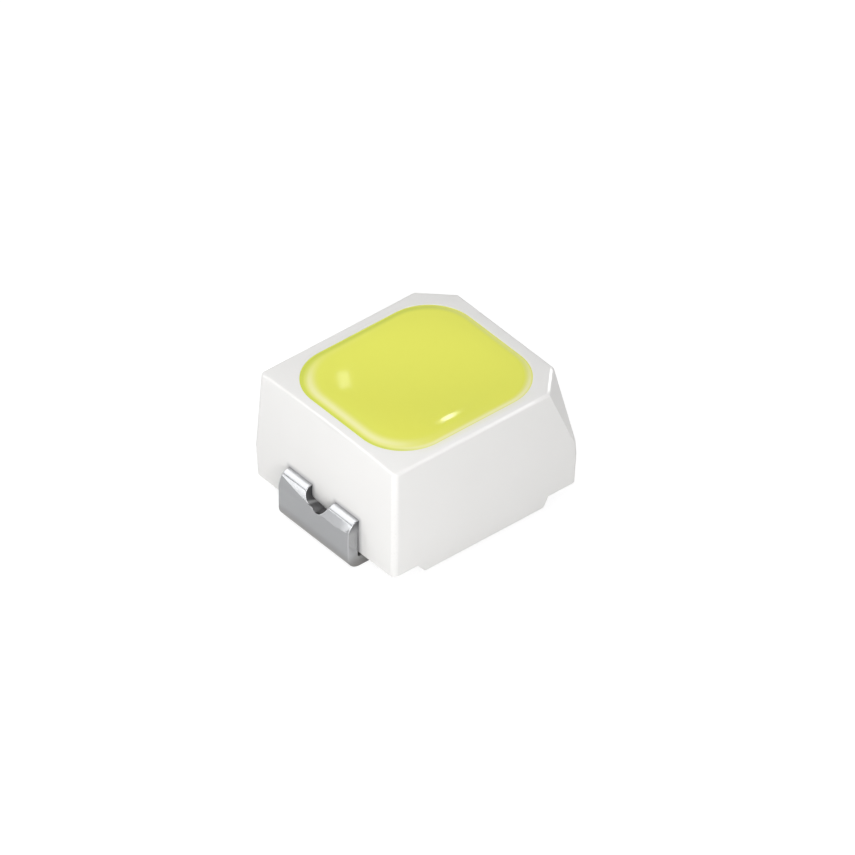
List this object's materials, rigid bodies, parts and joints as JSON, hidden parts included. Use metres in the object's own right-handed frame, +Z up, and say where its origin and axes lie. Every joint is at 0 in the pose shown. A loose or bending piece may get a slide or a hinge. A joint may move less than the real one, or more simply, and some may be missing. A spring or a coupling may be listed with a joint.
{
  "type": "surface-mount led",
  "caption": "Top-view surface-mount light: a white moulded housing with a wide phosphor-filled window, slanted corners at the cathode end and folded silver leads under its ends.",
  "frame": {"origin": "bottom centre of the whole part, on the plane that the lead tails stand on", "axes": "+X from the anode lead to the cathode lead at the slanted corners, +Z up through the window"},
  "size_m": [0.0036, 0.0028, 0.0019],
  "materials": {
    "white_plastic": "satin white moulding",
    "silver_plate": "semi-bright silver plate on copper",
    "phosphor_silicone": "glossy yellow-green silicone",
    "sapphire": "polished crystal with a metallised top",
    "clear_adhesive": "cured clear adhesive",
    "gold": "drawn gold wire"
  },
  "bodies": {
    "root": {"housing": "white_plastic", "anode_lead": "silver_plate", "cathode_lead": "silver_plate", "encapsulant": "phosphor_silicone", "led_die": "sapphire", "die_attach": "clear_adhesive", "anode_wire": "gold", "cathode_wire": "gold"}
  },
  "joints": []
}
